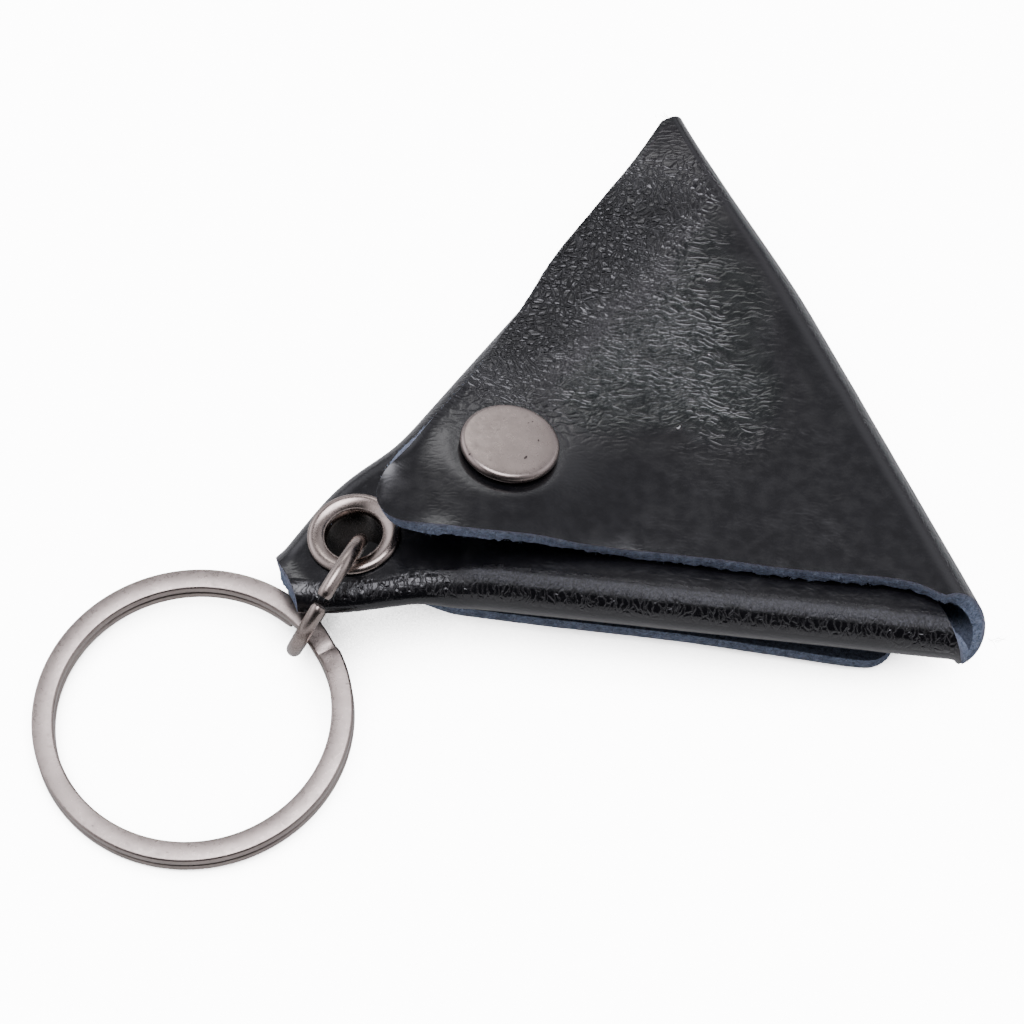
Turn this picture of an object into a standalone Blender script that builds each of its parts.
"""Triangular folded-leather pick holder with a snap, an eyelet and key rings.

One leather strip of four triangular panels is folded round itself.  From the
bottom up the panels are: tail, pocket back, pocket front and flap.  The pocket
front and the pocket back are joined by the front roll, the pocket front and
the tail by the left roll, and the pocket back and the flap by the flap fold.
An eyelet clamps tail, back and front at the left corner, and a ring snap holds
the flap down on the pocket front.

Lengths are in millimetres until MM turns them to metres.
Origin: centre of the triangle, on the flat underside of the tail.  +X runs
along the front roll, towards the right corner, +Y to the apex, +Z up.  The
holder is laid out on a table at Z = 0 and then moved down by REST_Z, because
the jump ring under the left corner holds the tail's centre that far up.
"""
import math

import bmesh
import bpy
import numpy as np
from mathutils import Matrix, Vector

MM = 0.001               # metres in a millimetre

# ---- strip and triangle -----------------------------------------------------
LEATHER = 1.5            # strip thickness
INRADIUS = 20.35         # triangle centre to each ideal side
ALTITUDE = 3 * INRADIUS

# ---- levels -----------------------------------------------------------------
TAIL_GAP = 0.3           # tail to pocket back
BACK_Z = LEATHER + TAIL_GAP
RISE_RIGHT = 2.2         # how far the springy tail holds up the right corner
RISE_LEFT = 4.9          # how far the jump ring under it holds up the left corner
DROOP_X = -25.0          # left of here the panels droop
DROOP_SLOPE = 0.11       # slope the droop tends to
DROOP_EASE = 1.5         # length over which the droop sets in
POCKET_FRONT_GAP = 2.6   # pocket depth along the front roll
POCKET_GAP = 1.7         # pocket depth further in
POCKET_DEEPEN_Y = -10.5  # where the pocket starts to deepen to the front
POCKET_DEEPEN_RUN = 7.5
POCKET_OPEN_RUN = 8.5    # length over which the pocket opens from the eyelet
STUD_POCKET = 1.55       # pocket depth under the stud
EYELET_GAP = 0.3         # pocket depth where the eyelet clamps it
EYELET_TAIL_GAP = 0.2    # tail to pocket back there
FLAP_Z = 7.8             # underside of the flap where it lies flat
FLAP_TIP = (-30.0, -18.0)  # centre of the flap's bump and dip
FLAP_BUMP = 3.2          # how far the snap props the flap up
FLAP_BUMP_R = 29.0       # outer radius of the bump
FLAP_BUMP_RUN = 21.0
FLAP_DIP = 1.5           # how far the tip bends back down
FLAP_DIP_R = 11.0

# ---- edges: Y, or distance from the centre ----------------------------------
FRONT_Y = -22.9          # outside of the front roll
FRONT_SPREAD = 1.7       # how far its left end spreads
FRONT_SPREAD_X = -19.0   # where that starts
LEFT_D = 20.4            # outside of the left roll
LEFT_SPREAD = 2.3        # how far its lower end spreads
LEFT_SPREAD_AT = 14.5    # where that starts, along the left side
SPREAD_RUN = 13.0        # length over which either roll spreads
RIGHT_D = 19.75          # outside of the flap fold
PANEL_R = 16.2           # right ends of pocket back and flap, at the fold
FOLD_R = 16.5            # where the flap fold starts
FRONT_R = 15.8           # free right edge of the pocket front
TAIL_TOP_R = 15.3        # free right edge of the tail, at the apex
CUT_D = 41.6             # cut left corner of the pocket front
BACK_CUT_D = CUT_D - 0.2
TAIL_CUT_D = 39.2

# ---- where the eyelet and the snap sit --------------------------------------
EYELET_AT = (-28.7, -16.75)
EYELET_SLOPE = (0.13, -0.03)
EYELET_UNDER = 4.6       # underside of the tail at the eyelet
SNAP_AT = (-14.95, -8.3)
SNAP_SLOPE_DIR = math.radians(239.0)
FLAP_TILT = math.radians(14.0)
STUD_TILT = math.radians(8.0)
FLAP_SNAP_Z = 12.95      # underside of the flap at the snap
# flat spots in the leather: radius of the flat, radius where it has blended out
EYELET_FLAT = (6.2, 11.0)
STUD_FLAT = (5.4, 9.5)
CAP_FLAT = (6.4, 12.5)


# ---- sides of the triangle --------------------------------------------------
class Side:
    """A side's outward normal and the direction along it."""

    def __init__(self, normal, tangent):
        self.normal = normal
        self.tangent = tangent

    def at(self, out, along):
        return tuple(n * out + t * along for n, t in zip(self.normal, self.tangent))

    def out(self, x, y):
        return self.normal[0] * x + self.normal[1] * y

    def along(self, x, y):
        return self.tangent[0] * x + self.tangent[1] * y


HALF_ROOT3 = math.sqrt(3) / 2
RIGHT = Side((HALF_ROOT3, 0.5), (0.5, -HALF_ROOT3))    # along: to the right corner
LEFT = Side((-HALF_ROOT3, 0.5), (-0.5, -HALF_ROOT3))   # along: to the left corner
CUT = Side((-0.80, -0.60), (0.60, -0.80))              # cut left corner, along: to the front


# ---- mid-surface heights of the four panels ---------------------------------
def smooth(t):
    t = min(1.0, max(0.0, t))
    return t * t * (3 - 2 * t)


def tilt_slope(angle):
    """X and Y slope of a plane tilted by angle in the snap's direction."""
    steepness = math.tan(angle)
    return (steepness * math.cos(SNAP_SLOPE_DIR), steepness * math.sin(SNAP_SLOPE_DIR))


FLAP_SLOPE = tilt_slope(FLAP_TILT)
STUD_SLOPE = tilt_slope(STUD_TILT)


def distance(x, y, centre):
    return math.hypot(x - centre[0], y - centre[1])


def plateau(z, x, y, centre, flat_z, slope, radii):
    """z, blended to a flat spot of the given height and slope round a centre."""
    inner, outer = radii
    weight = 1 - smooth((distance(x, y, centre) - inner) / (outer - inner))
    flat = flat_z + slope[0] * (x - centre[0]) + slope[1] * (y - centre[1])
    return z + weight * (flat - z)


def left_rise(x, y):
    return RISE_LEFT * (INRADIUS - RIGHT.out(x, y)) / ALTITUDE


def right_rise(x, y):
    return RISE_RIGHT * (INRADIUS - LEFT.out(x, y)) / ALTITUDE


def droop(x):
    past = max(0.0, DROOP_X - x)
    return DROOP_SLOPE * past * past / (past + DROOP_EASE)


def body_lift(x, y):
    """Lift of the pocket's two panels."""
    z = left_rise(x, y) + right_rise(x, y) - droop(x)
    eyelet_z = EYELET_UNDER - TAIL_GAP + EYELET_TAIL_GAP
    return plateau(z, x, y, EYELET_AT, eyelet_z, EYELET_SLOPE, EYELET_FLAT)


def pocket_gap(x, y):
    deepening = smooth((POCKET_DEEPEN_Y - y) / POCKET_DEEPEN_RUN)
    gap = POCKET_GAP + (POCKET_FRONT_GAP - POCKET_GAP) * deepening
    opening = smooth((distance(x, y, EYELET_AT) - EYELET_FLAT[0]) / POCKET_OPEN_RUN)
    return EYELET_GAP + (gap - EYELET_GAP) * opening


def tail_z(x, y):
    z = left_rise(x, y) - droop(x)
    return LEATHER / 2 + plateau(z, x, y, EYELET_AT, EYELET_UNDER, EYELET_SLOPE, EYELET_FLAT)


def back_z(x, y):
    return BACK_Z + LEATHER / 2 + body_lift(x, y)


def front_z(x, y):
    closed_z = BACK_Z + 1.5 * LEATHER
    z = closed_z + pocket_gap(x, y) + body_lift(x, y)
    stud_z = closed_z + STUD_POCKET + body_lift(*SNAP_AT)
    return plateau(z, x, y, SNAP_AT, stud_z, STUD_SLOPE, STUD_FLAT)


def flap_z(x, y):
    radius = distance(x, y, FLAP_TIP)
    z = FLAP_Z + LEATHER / 2 + left_rise(x, y) + right_rise(x, y)
    z += FLAP_BUMP * smooth((FLAP_BUMP_R - radius) / FLAP_BUMP_RUN)
    z -= FLAP_DIP * smooth((FLAP_DIP_R - radius) / FLAP_DIP_R)
    return plateau(z, x, y, SNAP_AT, FLAP_SNAP_Z + LEATHER / 2, FLAP_SLOPE, CAP_FLAT)


# ---- outlines and grids -----------------------------------------------------
SPLINE_STEPS = 24        # points per span of a smooth curve


def front_line(x, inset):
    """Y of a line inset from the front roll's outside."""
    return FRONT_Y - FRONT_SPREAD * smooth((FRONT_SPREAD_X - x) / SPREAD_RUN) + inset


def left_out(along):
    """Distance of the left roll's outside from the centre."""
    return LEFT_D + LEFT_SPREAD * smooth((along - LEFT_SPREAD_AT) / SPREAD_RUN)


def even(count):
    return np.linspace(0, 1, count + 1)


def crowded(count, power):
    """Shares from 0 to 1, closer together at the start."""
    return even(count) ** power


def run_shares(points):
    """Each point's share of the way along a polyline."""
    run = np.concatenate([[0], np.cumsum(np.hypot(*np.diff(points, axis=0).T))])
    return run / run[-1]


def spread(points, shares):
    """Points at the given shares of the way along a polyline."""
    points = np.array(points, float)
    own = run_shares(points)
    return np.column_stack([np.interp(shares, own, points[:, axis]) for axis in (0, 1)])


def smooth_curve(points, shares):
    """Points at the given shares along a Catmull-Rom curve through points."""
    knots = [np.array(point, float) for point in points]
    knots = [2 * knots[0] - knots[1]] + knots + [2 * knots[-1] - knots[-2]]
    fine = []
    for a, b, c, d in zip(knots, knots[1:], knots[2:], knots[3:]):
        for k in range(SPLINE_STEPS):
            t = k / SPLINE_STEPS
            fine.append(0.5 * (2 * b + (c - a) * t + (2 * a - 5 * b + 4 * c - d) * t * t
                               + (3 * b - a - 3 * c + d) * t ** 3))
    fine.append(knots[-2])
    return spread(fine, shares)


def draped_grid(front, back, left, right, row_shares, height):
    """Coons grid between four plan edges, each point raised to height(x, y)."""
    grid = []
    for j, t in enumerate(row_shares):
        row = []
        for i, s in enumerate(run_shares(front)):
            x, y = ((1 - t) * front[i] + t * back[i] + (1 - s) * left[j] + s * right[j]
                    - ((1 - s) * (1 - t) * front[0] + s * (1 - t) * front[-1]
                       + (1 - s) * t * back[0] + s * t * back[-1]))
            row.append((x, y, height(x, y)))
        grid.append(row)
    return grid


# ---- scene set-up -----------------------------------------------------------
for old in list(bpy.data.objects):
    bpy.data.objects.remove(old, do_unlink=True)

parts = bpy.data.collections.new("pick_holder")
guides = bpy.data.collections.new("guides")
bpy.context.scene.collection.children.link(parts)
bpy.context.scene.collection.children.link(guides)


def material(name, colour, roughness, metallic):
    mat = bpy.data.materials.new(name)
    mat.use_nodes = True
    shader = mat.node_tree.nodes["Principled BSDF"]
    shader.inputs["Base Color"].default_value = (*colour, 1)
    shader.inputs["Roughness"].default_value = roughness
    shader.inputs["Metallic"].default_value = metallic
    mat.diffuse_color = (*colour, 1)
    return mat


LEATHER_MAT = material("black_leather", colour=(0.012, 0.012, 0.014), roughness=0.28, metallic=0.0)
METAL_MAT = material("black_nickel", colour=(0.33, 0.30, 0.29), roughness=0.24, metallic=1.0)
DARK_MAT = material("snap_brass", colour=(0.26, 0.24, 0.23), roughness=0.35, metallic=1.0)


# ---- object builders --------------------------------------------------------
def add_part(name, data, mat, matrix=Matrix.Identity(4)):
    ob = bpy.data.objects.new(name, data)
    parts.objects.link(ob)
    ob.matrix_world = matrix
    data.materials.append(mat)
    return ob


def add_guide(name, data, matrix=Matrix.Identity(4)):
    """Helper object that isn't rendered."""
    ob = bpy.data.objects.new(name, data)
    guides.objects.link(ob)
    ob.matrix_world = matrix
    ob.hide_render = True
    ob.display_type = "WIRE"
    return ob


def mesh_from(bm, name):
    mesh = bpy.data.meshes.new(name)
    bm.to_mesh(mesh)
    bm.free()
    return mesh


def sheet(name, grids):
    """Leather sheet from mid-surface grids that share their edges."""
    bm = bmesh.new()
    for grid in grids:
        verts = [[bm.verts.new([c * MM for c in point]) for point in row] for row in grid]
        for row, above in zip(verts, verts[1:]):
            for i in range(len(row) - 1):
                bm.faces.new((row[i], row[i + 1], above[i + 1], above[i]))
    bmesh.ops.remove_doubles(bm, verts=bm.verts, dist=2e-6)
    bmesh.ops.recalc_face_normals(bm, faces=bm.faces)
    ob = add_part(name, mesh_from(bm, name), LEATHER_MAT)
    mod = ob.modifiers.new("thickness", "SOLIDIFY")
    mod.thickness = LEATHER * MM
    mod.offset = 0
    mod.use_even_offset = True
    mod.thickness_clamp = 0
    return ob


def slope_normal(slope):
    return Vector((-slope[0], -slope[1], 1)).normalized()


def frame_at(point, normal):
    """Matrix with +Z along normal, at point (mm)."""
    turn = Vector((0, 0, 1)).rotation_difference(normal)
    return Matrix.Translation(Vector(point) * MM) @ turn.to_matrix().to_4x4()


def turned(name, profile, mat, matrix, steps=40):
    """Closed (radius, height) profile, turned about the local Z axis."""
    bm = bmesh.new()
    area = sum(a[0] * b[1] - b[0] * a[1] for a, b in zip(profile, profile[1:] + profile[:1]))
    if area > 0:         # one winding for all, so that the faces point outwards
        profile = profile[::-1]
    verts = [bm.verts.new((radius * MM, 0, height * MM)) for radius, height in profile]
    for i in range(len(verts)):
        j = (i + 1) % len(verts)
        if profile[i][0] != 0 or profile[j][0] != 0:    # no edge along the axis
            bm.edges.new((verts[i], verts[j]))
    ob = add_part(name, mesh_from(bm, name), mat, matrix)
    mod = ob.modifiers.new("turn", "SCREW")
    mod.axis = "Z"
    mod.steps = mod.render_steps = steps
    mod.use_merge_vertices = True
    mod.merge_threshold = 1e-6
    mod.use_smooth_shade = True


def arc(centre_r, centre_h, radius, start, end, steps):
    """Profile points on an arc; angles in degrees."""
    angles = [math.radians(start + (end - start) * k / steps) for k in range(steps + 1)]
    return [(centre_r + radius * math.cos(a), centre_h + radius * math.sin(a)) for a in angles]


def bore(ob, name, radius, low, high, matrix):
    """Hole through ob, between two heights on the matrix's Z axis."""
    bm = bmesh.new()
    bmesh.ops.create_cone(bm, cap_ends=True, segments=32, radius1=radius * MM,
                          radius2=radius * MM, depth=(high - low) * MM,
                          matrix=Matrix.Translation((0, 0, (high + low) / 2 * MM)))
    mod = ob.modifiers.new("bore_" + name, "BOOLEAN")
    mod.operation = "DIFFERENCE"
    mod.object = add_guide(name, mesh_from(bm, name), matrix)


def add_polyline(curve, points):
    spline = curve.splines.new("POLY")
    spline.points.add(len(points) - 1)
    for target, (x, y, z) in zip(spline.points, points):
        target.co = (x * MM, y * MM, z * MM, 1)
    return spline


def wire(name, points, radius, matrix):
    """Open round wire along points."""
    curve = bpy.data.curves.new(name, "CURVE")
    curve.dimensions = "3D"
    curve.bevel_depth = radius * MM
    curve.bevel_resolution = 2
    curve.use_fill_caps = True
    add_polyline(curve, points).use_smooth = True
    add_part(name, curve, METAL_MAT, matrix)


# ---- leather body: pocket, tail and the rolls between them ------------------
COLS, CUT_ROWS, ROWS = 24, 2, 15
ROLL_STEPS = 6
LINE_POINTS = 40         # points that trace the left roll
FRONT_LINE_POINTS = 80   # points that trace the front roll
SETTLE_ROUNDS = 30       # rounds to find where two bent lines meet
COL_AT = crowded(COLS, 1.4)     # denser at the eyelet
ROW_AT = crowded(ROWS, 1.3)
FRONT_INSET = 2.65       # roll's outside to where the panels go flat
LEFT_INSET = 2.6
BACK_LEFT_INSET = 2.9    # the pocket back stays inside the left roll

# bulge directions at the front roll's left and right ends
FRONT_LEAN_LEFT = (0.675, -1.0)
FRONT_LEAN_RIGHT = (0.35, -1.0)
FRONT_LEAN_COLS = 2.0    # columns over which each end leans
LEFT_LEAN = 1.16         # length of the bulge direction at the left roll's cut end
LEFT_LEAN_ROWS = 1.6

TAIL_TOP_ALONG = -27.0   # apex end of the tail, along the left side
TAIL_CORNER_ALONG = 27.0  # where the roll's spread is read for the tail's corner
TAIL_TOP_SHIFT = 0.4     # shift of the tail's right edge at the apex
TAIL_Y = -21.4
# x, y of the tail's free front edge, from the left, round its right corner
TAIL_FRONT = [
    (-30.9, TAIL_Y + 0.4), (-22.0, TAIL_Y), (-9.0, TAIL_Y - 0.1), (4.0, TAIL_Y),
    (14.0, TAIL_Y - 0.3), (20.5, TAIL_Y - 0.5), (23.3, TAIL_Y - 0.2), (24.8, -20.1),
    (24.9, -18.6)]
TAIL_CORNER_COLS = 5     # evenly spaced columns at the right corner
TAIL_AT = list(crowded(COLS, 1.15)[:COLS + 1 - TAIL_CORNER_COLS])
TAIL_AT += list(TAIL_AT[-1] + (1 - TAIL_AT[-1]) * even(TAIL_CORNER_COLS)[1:])


def on_cut_left(cut_d, left_d):
    """Where the cut corner meets a line left_d out on the left side."""
    along = (cut_d - CUT.out(*LEFT.normal) * left_d) / CUT.out(*LEFT.tangent)
    return LEFT.at(left_d, along), along


def left_edge(foot, corner, corner_along, top_along, inset):
    """Panel's left edge: up the cut corner, then along the left roll to the apex."""
    line = [LEFT.at(left_out(along) - inset, along)
            for along in np.linspace(corner_along, top_along, LINE_POINTS)]
    return np.vstack([spread([foot, corner], even(CUT_ROWS)), spread(line, ROW_AT)[1:]])


def pocket_panel(height, left_inset, right_d, top_along, cut_d, x_right):
    """Pocket panel: between the front roll, the left roll and its right edge."""
    x = -34.0            # starting guess for the foot of the cut corner
    for _ in range(SETTLE_ROUNDS):
        y = front_line(x, FRONT_INSET)
        x = (cut_d - CUT.normal[1] * y) / CUT.normal[0]
    foot = (x, front_line(x, FRONT_INSET))
    corner_along = 28.0  # starting guess for the top of the cut corner
    for _ in range(SETTLE_ROUNDS):
        corner, corner_along = on_cut_left(cut_d, left_out(corner_along) - left_inset)
    left = left_edge(foot, corner, corner_along, top_along, left_inset)
    rows = run_shares(left)
    start = RIGHT.at(right_d, RIGHT.along(x_right, front_line(x_right, FRONT_INSET)))
    end = RIGHT.at(right_d, RIGHT.along(*left[-1]))
    front = [(x, front_line(x, FRONT_INSET))
             for x in np.linspace(foot[0], start[0], FRONT_LINE_POINTS)[:-1]]
    return draped_grid(spread(front + [start], COL_AT), spread([left[-1], end], COL_AT),
                       left, spread([start, end], rows), rows, height)


def tail_panel():
    """Tail: hangs from the left roll, with a free front and right edge."""
    corner, corner_along = on_cut_left(TAIL_CUT_D, left_out(TAIL_CORNER_ALONG) - LEFT_INSET)
    left = left_edge(TAIL_FRONT[0], corner, corner_along, TAIL_TOP_ALONG, LEFT_INSET)
    rows = run_shares(left)
    front = smooth_curve(TAIL_FRONT, TAIL_AT)
    end = RIGHT.at(TAIL_TOP_R, RIGHT.along(*left[-1]) + TAIL_TOP_SHIFT)
    return draped_grid(front, spread([left[-1], end], TAIL_AT), left,
                       spread([front[-1], end], rows), rows, tail_z)


def roll(edge_a, edge_b, ways, reach):
    """Half round strip from edge_a to edge_b, bulging along each point's way."""
    rows = []
    for k in range(ROLL_STEPS + 1):
        angle = math.pi * k / ROLL_STEPS
        share = (1 - math.cos(angle)) / 2
        out = reach * math.sin(angle)
        row = []
        for start, end, way in zip(edge_a, edge_b, ways):
            x, y, z = (a + (b - a) * share for a, b in zip(start, end))
            row.append((x + way[0] * out, y + way[1] * out, z))
        rows.append(row)
    return rows


def lean(base, towards, weight):
    return tuple(b + weight * (t - b) for b, t in zip(base, towards))


def build_body():
    pocket_front = pocket_panel(front_z, LEFT_INSET, right_d=FRONT_R, top_along=-27.0,
                                cut_d=CUT_D, x_right=29.3)
    pocket_back = pocket_panel(back_z, BACK_LEFT_INSET, right_d=PANEL_R, top_along=-27.2,
                               cut_d=BACK_CUT_D, x_right=31.6)
    # the bulges are square to the rolls and lean at their cut ends
    ways = []
    for i in range(COLS + 1):
        way = lean((0.0, -1.0), FRONT_LEAN_LEFT, smooth(1 - i / FRONT_LEAN_COLS))
        ways.append(lean(way, FRONT_LEAN_RIGHT, smooth(1 - (COLS - i) / FRONT_LEAN_COLS)))
    front_roll = roll(pocket_front[0], pocket_back[0], ways, FRONT_INSET - LEATHER / 2)

    tail = tail_panel()
    cut_way = tuple(-c * LEFT_LEAN for c in CUT.tangent)
    ways = [lean(LEFT.normal, cut_way, smooth(1 - i / LEFT_LEAN_ROWS)) for i in range(ROWS + 1)]
    left_roll = roll([row[0] for row in pocket_front[CUT_ROWS:]],
                     [row[0] for row in tail[CUT_ROWS:]], ways, LEFT_INSET - LEATHER / 2)
    return sheet("leather_body", [pocket_front, pocket_back, front_roll, tail, left_roll])


# ---- flap -------------------------------------------------------------------
FLAP_COL_AT = crowded(24, 1.3)
FLAP_ROW_AT = crowded(18, 1.2)
FLAP_END = RIGHT.at(PANEL_R, 31.0)
FLAP_TOP = RIGHT.at(PANEL_R, -31.5)
# x, y of the free left edge, from the rounded tip to the apex
FLAP_LEFT = [
    (-27.05, -14.6), (-26.3, -12.0), (-23.7, -7.3), (-20.3, -1.1), (-17.0, 5.0),
    (-14.4, 10.5), (-11.9, 16.4), (-8.4, 23.1), (-4.9, 29.3), (-2.75, 34.6)]
# x, y of the free front edge, from the rounded tip to the fold
FLAP_FRONT = [
    FLAP_LEFT[0], (-26.6, -16.3), (-24.9, -17.9), (-21.6, -18.6), (-16.5, -18.5),
    (-6.4, -17.5), (5.1, -17.4), (15.0, -17.6), (24.9, -17.5), FLAP_END]


def build_flap():
    grid = draped_grid(smooth_curve(FLAP_FRONT, FLAP_COL_AT),
                       spread([FLAP_LEFT[-1], FLAP_TOP], FLAP_COL_AT),
                       smooth_curve(FLAP_LEFT, FLAP_ROW_AT),
                       spread([FLAP_END, FLAP_TOP], FLAP_ROW_AT), FLAP_ROW_AT, flap_z)
    return sheet("leather_flap", [grid])


# ---- flap fold: between pocket back and flap, round the pocket front's edge -
FOLD_COLS = 14
FOLD_STEPS = 8
# apex and right ends along the right side, at the flap and at the pocket back
FOLD_ENDS_TOP = (-32.0, 31.2)
FOLD_ENDS_LOW = (-33.0, 35.2)


def build_flap_fold():
    rows = []
    for k in range(FOLD_STEPS + 1):
        angle = math.pi * k / FOLD_STEPS
        share = (1 - math.cos(angle)) / 2
        out = FOLD_R + (RIGHT_D - LEATHER / 2 - FOLD_R) * math.sin(angle)
        start, end = lean(FOLD_ENDS_TOP, FOLD_ENDS_LOW, share)
        row = []
        for i in range(FOLD_COLS + 1):
            along = start + (end - start) * i / FOLD_COLS
            foot = RIGHT.at(FOLD_R, along)
            top, low = flap_z(*foot), back_z(*foot)
            row.append((*RIGHT.at(out, along), top + (low - top) * share))
        rows.append(row)
    sheet("flap_hinge_roll", [rows])


# ---- eyelet -----------------------------------------------------------------
EYELET_BORE = 2.75       # radii
EYELET_BARREL = 3.05
EYELET_HOLE = 3.3        # hole in the leather
EYELET_FLANGE = 4.7
WASHER_BORE = EYELET_BARREL + 0.12
EYELET_LIP = 0.62        # how far the metal stands off the leather
EYELET_SEAT = 0.2        # flange and washer to the leather
EYELET_ROUND = 0.55      # rounding at the mouth of the bore
HOLE_MARGIN = 3.0        # how far the hole's cutter overshoots the leather
STACK = 3 * LEATHER + EYELET_TAIL_GAP + EYELET_GAP
EYELET_NORMAL = slope_normal(EYELET_SLOPE)
EYELET_FRAME = frame_at((*EYELET_AT, EYELET_UNDER), EYELET_NORMAL)


def build_eyelet(body):
    top = STACK / EYELET_NORMAL.z
    seat = top + EYELET_SEAT
    profile = [
        (EYELET_BARREL, -EYELET_LIP),
        (EYELET_BORE, -EYELET_LIP),
        *arc(EYELET_BORE + EYELET_ROUND, top + 0.15, EYELET_ROUND, 180, 90, 4),
        (EYELET_FLANGE - 0.75, top + EYELET_LIP),
        (EYELET_FLANGE - 0.25, top + 0.42),
        (EYELET_FLANGE, seat),
        (EYELET_FLANGE - 0.2, seat),
        (EYELET_BARREL, seat)]
    turned("eyelet", profile, METAL_MAT, EYELET_FRAME, steps=48)
    washer = [
        (WASHER_BORE, -EYELET_SEAT),
        (EYELET_FLANGE, -EYELET_SEAT),
        (EYELET_FLANGE, -0.3),
        (EYELET_FLANGE - 0.5, -0.55),
        (WASHER_BORE, -EYELET_LIP)]
    turned("eyelet_washer", washer, METAL_MAT, EYELET_FRAME, steps=48)
    bore(body, "eyelet_hole", EYELET_HOLE, -HOLE_MARGIN, STACK + HOLE_MARGIN, EYELET_FRAME)


# ---- snap -------------------------------------------------------------------
CAP_R = 5.05
CAP_H = 1.15
CAP_UNDER = LEATHER + 0.2    # cap's underside, from the flap's underside
CAP_INSIDE = CAP_UNDER + 0.7
CAP_TOP = CAP_UNDER + CAP_H
POST_FOOT = -LEATHER - 0.22  # top of the stud post's foot
CAP_HOLE_R = 1.35
STUD_HOLE_R = 1.25
SPRING_R = 2.78          # spring's centre line radius
SPRING_WIRE = 0.26       # spring's wire radius
SPRING_Z = -1.12
SPRING_ENDS = (20, 340)  # degrees
SPRING_POINTS = 25

# profiles: (radius, height); the cap's side from the flap's underside, the
# stud's side from the top of the pocket front
CAP = [
    (0, CAP_TOP), (CAP_R - 0.75, CAP_TOP),
    *arc(CAP_R - 0.75, CAP_TOP - 0.45, 0.45, 75, 20, 3),
    (CAP_R - 0.22, CAP_UNDER + 0.48),
    *arc(CAP_R - 0.26, CAP_UNDER + 0.26, 0.26, 60, -80, 5),
    (CAP_R - 0.6, CAP_UNDER), (CAP_R - 1.1, CAP_UNDER + 0.05),
    (CAP_R - 1.1, CAP_INSIDE), (0, CAP_INSIDE)]
CAP_POST = [
    (0, CAP_UNDER + 0.5), (3.3, CAP_UNDER + 0.5), (3.3, CAP_UNDER + 0.08),
    (1.0, CAP_UNDER + 0.08), (1.0, -0.75), (1.45, -0.95), (1.35, -1.15), (0, -1.15)]
SOCKET = [
    (1.2, -0.2), (3.75, -0.2), (4.0, -0.4), (4.0, -1.2), (3.75, -1.9), (2.95, -1.95),
    (2.95, -1.62), (3.5, -1.45), (3.5, -0.8), (3.1, -0.6), (1.2, -0.6)]
STUD = [
    (1.15, 0.2), (3.4, 0.2), (3.55, 0.34), (3.3, 0.45), (2.1, 0.55), (1.9, 0.85),
    (2.15, 1.2), (2.1, 1.45), (1.75, 1.62), (1.15, 1.62)]
STUD_POST = [
    (0, 1.75), (0.95, 1.75), (0.95, POST_FOOT), (3.3, POST_FOOT),
    (3.5, -LEATHER - 0.4), (3.3, -LEATHER - 0.6), (0, -LEATHER - 0.6)]


def snap_frame(mid_z, slope, side):
    """Frame on the leather's top (side 1) or underside (side -1) at the snap."""
    normal = slope_normal(slope)
    return frame_at((*SNAP_AT, mid_z + side * LEATHER / 2 / normal.z), normal)


def build_snap(body, flap):
    cap_frame = snap_frame(FLAP_SNAP_Z + LEATHER / 2, FLAP_SLOPE, side=-1)
    stud_frame = snap_frame(front_z(*SNAP_AT), STUD_SLOPE, side=1)
    turned("snap_cap", CAP, METAL_MAT, cap_frame, steps=48)
    turned("snap_cap_post", CAP_POST, DARK_MAT, cap_frame)
    bore(flap, "cap_hole", CAP_HOLE_R, -2.0, 4.0, cap_frame)
    turned("snap_socket", SOCKET, DARK_MAT, cap_frame)
    turned("snap_stud", STUD, DARK_MAT, stud_frame)
    turned("snap_stud_post", STUD_POST, DARK_MAT, stud_frame)
    bore(body, "stud_hole", STUD_HOLE_R, -LEATHER - 0.9, 1.5, stud_frame)

    # spring: an open ring of wire inside the socket
    angles = np.radians(np.linspace(*SPRING_ENDS, SPRING_POINTS))
    points = [(SPRING_R * math.cos(a), SPRING_R * math.sin(a), SPRING_Z) for a in angles]
    wire("snap_spring", points, SPRING_WIRE, cap_frame)


# ---- jump ring: open wire ring through the eyelet ---------------------------
RING_WIRE = 0.78         # wire radius
RING_R = 6.3             # centre line radius
RING_AT = (-31.45, -22.15, 6.9)
RING_NORMAL = (-0.893, 0.3655, 0.2615)
RING_GAP_AT = -32.0      # degrees
RING_GAP = 9.0           # degrees
RING_STEPS = 48


def build_jump_ring():
    # local frame: +X up in the ring's plane, +Y across it, +Z along its axis
    normal = Vector(RING_NORMAL).normalized()
    upward = (Vector((0, 0, 1)) - normal * normal.z).normalized()
    frame = Matrix((upward, normal.cross(upward), normal)).transposed().to_4x4()
    frame.translation = Vector(RING_AT) * MM
    angles = np.radians(RING_GAP_AT + RING_GAP / 2 + (360 - RING_GAP) * even(RING_STEPS))
    points = [(RING_R * math.cos(a), RING_R * math.sin(a), 0.0) for a in angles]
    wire("jump_ring", points, RING_WIRE, frame)


# ---- split ring: two coils of flat band -------------------------------------
SPLIT_OUT = 16.0         # outer radius
SPLIT_IN = 13.78
COIL_H = 1.03            # one coil's height
COIL_GAP = 0.12
BAND_CHAMFER = 0.2
SPLIT_AT = (-43.4, -34.6)
SPLIT_TILT = math.radians(3.7)
SPLIT_TOWARDS = math.radians(46.5)   # direction of the raised side
STEP_FROM = 34.0         # degrees, where the coil starts to change level
STEP_TO = 48.0
LOWER_END = 53.0         # degrees, where the band starts
UPPER_END = 720 + STEP_FROM - 2.0    # degrees, where it ends
SPLIT_STEPS = 112


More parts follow.
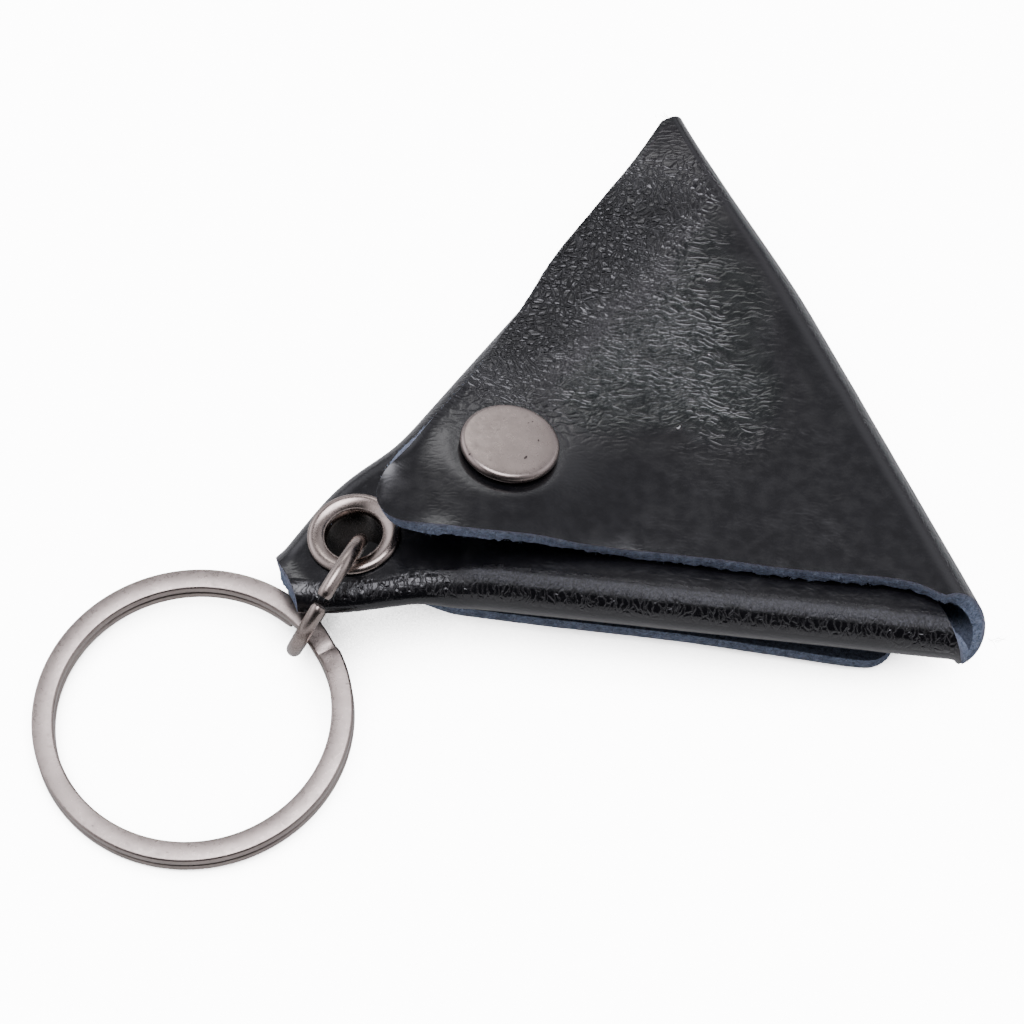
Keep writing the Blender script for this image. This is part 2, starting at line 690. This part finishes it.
def band_section():
    """Chamfered rectangle that the split ring's band follows."""
    curve = bpy.data.curves.new("band_section", "CURVE")
    curve.dimensions = "2D"
    wide, high = (SPLIT_OUT - SPLIT_IN) / 2, COIL_H / 2
    flat_w, flat_h = wide - BAND_CHAMFER, high - BAND_CHAMFER
    corners = [(-wide, flat_h), (-flat_w, high), (flat_w, high), (wide, flat_h),
               (wide, -flat_h), (flat_w, -high), (-flat_w, -high), (-wide, -flat_h)]
    add_polyline(curve, [(x, y, 0) for x, y in corners]).use_cyclic_u = True
    return add_guide("band_section", curve)


def build_split_ring():
    path = bpy.data.curves.new("split_ring", "CURVE")
    path.dimensions = "3D"
    path.twist_mode = "Z_UP"
    path.bevel_mode = "OBJECT"
    path.bevel_object = band_section()
    path.use_fill_caps = True
    radius = (SPLIT_OUT + SPLIT_IN) / 2
    points = []
    for k in range(SPLIT_STEPS + 1):
        degrees = LOWER_END + (UPPER_END - LOWER_END) * k / SPLIT_STEPS
        step = smooth((degrees - 360 - STEP_FROM) / (STEP_TO - STEP_FROM))
        angle = math.radians(degrees)
        points.append((radius * math.cos(angle), radius * math.sin(angle),
                       COIL_H / 2 + (COIL_H + COIL_GAP) * step))
    add_polyline(path, points).use_smooth = False

    # tilt about the point furthest from the raised side, which stays on the table
    towards = Vector((math.cos(SPLIT_TOWARDS), math.sin(SPLIT_TOWARDS), 0))
    axis = Vector((towards.y, -towards.x, 0))
    far = -towards * SPLIT_OUT * MM
    frame = (Matrix.Translation(Vector((*SPLIT_AT, 0)) * MM) @ Matrix.Translation(far)
             @ Matrix.Rotation(SPLIT_TILT, 4, axis) @ Matrix.Translation(-far))
    add_part("split_ring", path, METAL_MAT, frame)


# ---- build ------------------------------------------------------------------
leather_body = build_body()
leather_flap = build_flap()
build_flap_fold()
build_eyelet(leather_body)
build_snap(leather_body, leather_flap)
build_jump_ring()
build_split_ring()

# ---- move the origin to the tail's underside --------------------------------
TAIL_NORMAL = slope_normal([-RISE_LEFT * c / ALTITUDE for c in RIGHT.normal])
REST_Z = RISE_LEFT / 3 + LEATHER / 2 - LEATHER / 2 / TAIL_NORMAL.z
bpy.context.view_layer.update()
for ob in list(parts.objects) + list(guides.objects):
    ob.matrix_world = Matrix.Translation((0, 0, -REST_Z * MM)) @ ob.matrix_world

for ob in parts.objects:
    if ob.type == "MESH":
        ob.data.shade_smooth()
        ob.data.set_sharp_from_angle(angle=math.radians(38))
